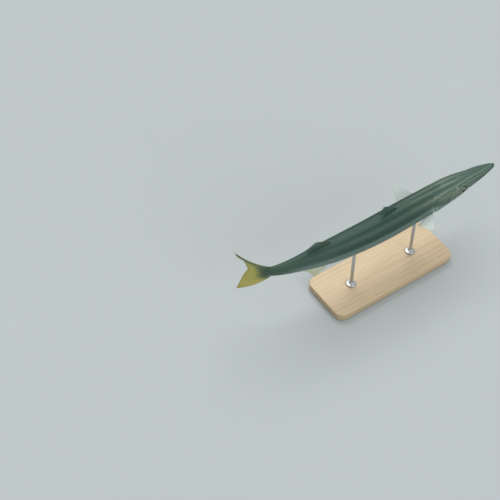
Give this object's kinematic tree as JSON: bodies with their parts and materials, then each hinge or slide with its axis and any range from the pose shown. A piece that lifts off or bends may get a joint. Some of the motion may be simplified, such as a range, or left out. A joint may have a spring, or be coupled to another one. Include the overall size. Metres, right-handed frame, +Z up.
{
  "type": "barracuda model",
  "caption": "Life-size still model of a slender barracuda with a yellow forked tail, bent in a slow turn, held on a flat base by slim rods.",
  "frame": {"origin": "middle of the underside of the stand's base", "axes": "+X from the rear rod to the front rod, towards the snout; +Y to the fish's left; +Z up"},
  "size_m": [0.4354, 0.0958, 0.1559],
  "materials": {
    "skin": "scaled skin, olive-green back and silvery belly, satin",
    "eye": "clear and wet-looking, dark pupil in a pale golden ring",
    "spiny_fin": "thin translucent membrane on dusky spines",
    "soft_fin": "thin translucent pale yellow membrane on soft rays",
    "clear_fin": "thin, nearly clear membrane on fine whitish rays",
    "tail_fin": "yellow membrane on close rays, dusky leading edges",
    "stand_wood": "pale hardwood, satin lacquer",
    "stand_rod": "drawn steel rod, fine satin"
  },
  "bodies": {
    "root": {"head": "skin", "lower_jaw": "skin", "gill_cover_left": "skin", "gill_cover_right": "skin", "trunk_front": "skin", "trunk_rear": "skin", "tail_peduncle": "skin", "eye_left": "eye", "eye_right": "eye", "dorsal_fin_first": "spiny_fin", "dorsal_fin_second": "soft_fin", "anal_fin": "soft_fin", "pectoral_fin_left": "clear_fin", "pectoral_fin_right": "clear_fin", "pelvic_fin_left": "soft_fin", "pelvic_fin_right": "soft_fin", "caudal_fin_upper": "tail_fin", "caudal_fin_lower": "tail_fin", "stand_base": "stand_wood", "stand_rod_front": "stand_rod", "stand_rod_rear": "stand_rod"}
  },
  "joints": []
}
